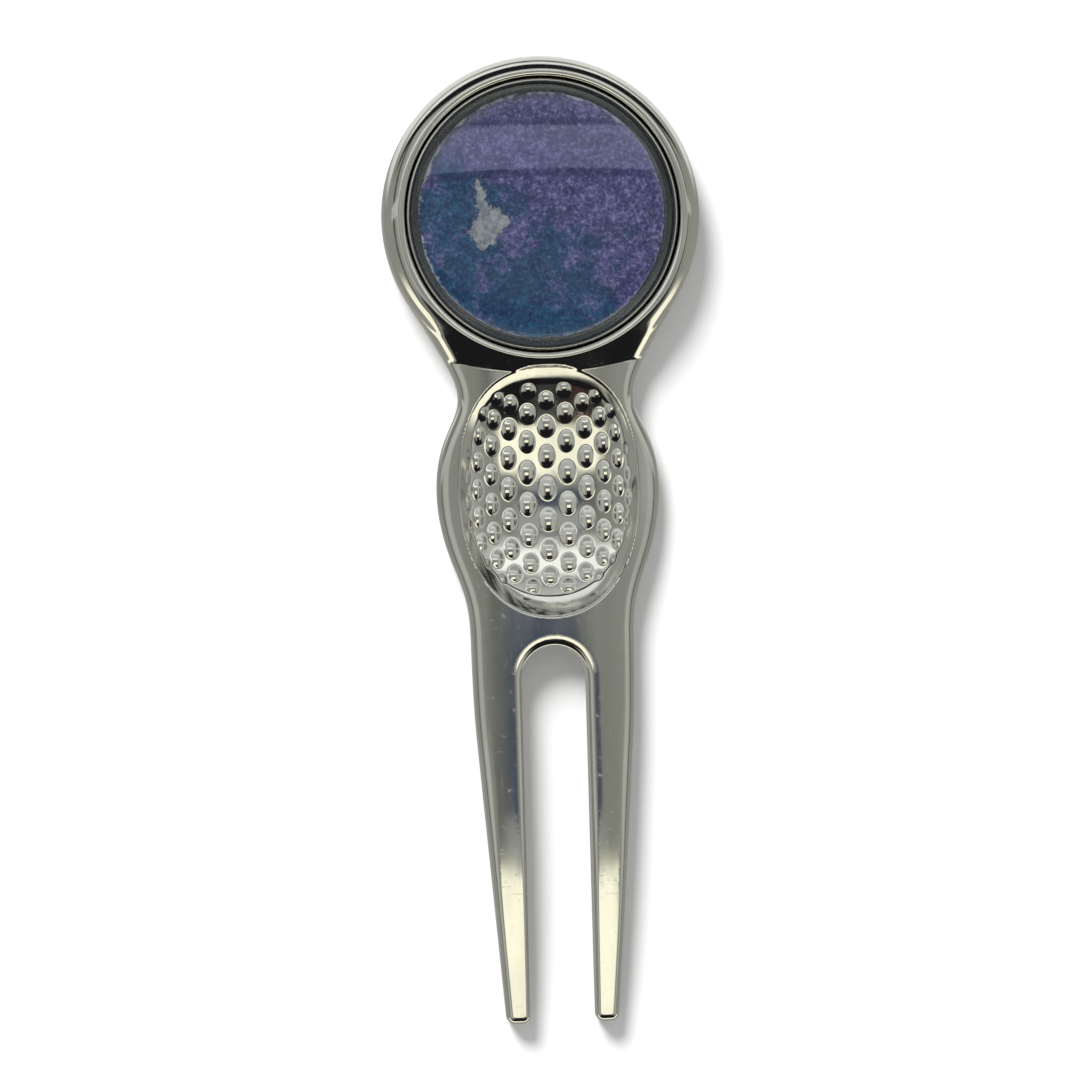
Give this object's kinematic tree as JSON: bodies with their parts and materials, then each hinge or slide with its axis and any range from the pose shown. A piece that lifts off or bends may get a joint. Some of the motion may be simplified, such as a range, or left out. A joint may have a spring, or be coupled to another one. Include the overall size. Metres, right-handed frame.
{
  "type": "divot repair tool",
  "caption": "Pocket golf green fork with a thin waist, an oval thumb hollow covered in raised bumps, and a lift-off magnetic ball marker in its round head.",
  "frame": {"origin": "centre of the tool's outline, on the plane of its flat back", "axes": "+Y along the tool towards the round head, +Z out of the face that holds the marker"},
  "size_m": [0.0276, 0.084, 0.0043],
  "materials": {
    "fork_plating": "polished black-nickel tinted plating on a zinc die casting, with fine handling scratches",
    "magnet_plating": "bright nickel plating",
    "marker_plating": "bright nickel plating on stamped steel",
    "cured_adhesive": "clear cured glue film",
    "print_paper": "blue and violet printed paper with a torn edge and a scraped patch",
    "clear_resin": "clear poured resin"
  },
  "bodies": {
    "fork": {"fork_body": "fork_plating", "magnet": "magnet_plating", "magnet_adhesive": "cured_adhesive"},
    "marker": {"marker_cup": "marker_plating", "print_adhesive": "cured_adhesive", "marker_print": "print_paper", "marker_dome": "clear_resin"}
  },
  "joints": [
    {"name": "marker_lift", "type": "slide", "parent": "fork", "child": "marker", "axis": [0, 0, 1], "range_m": [0, 0.012]}
  ]
}
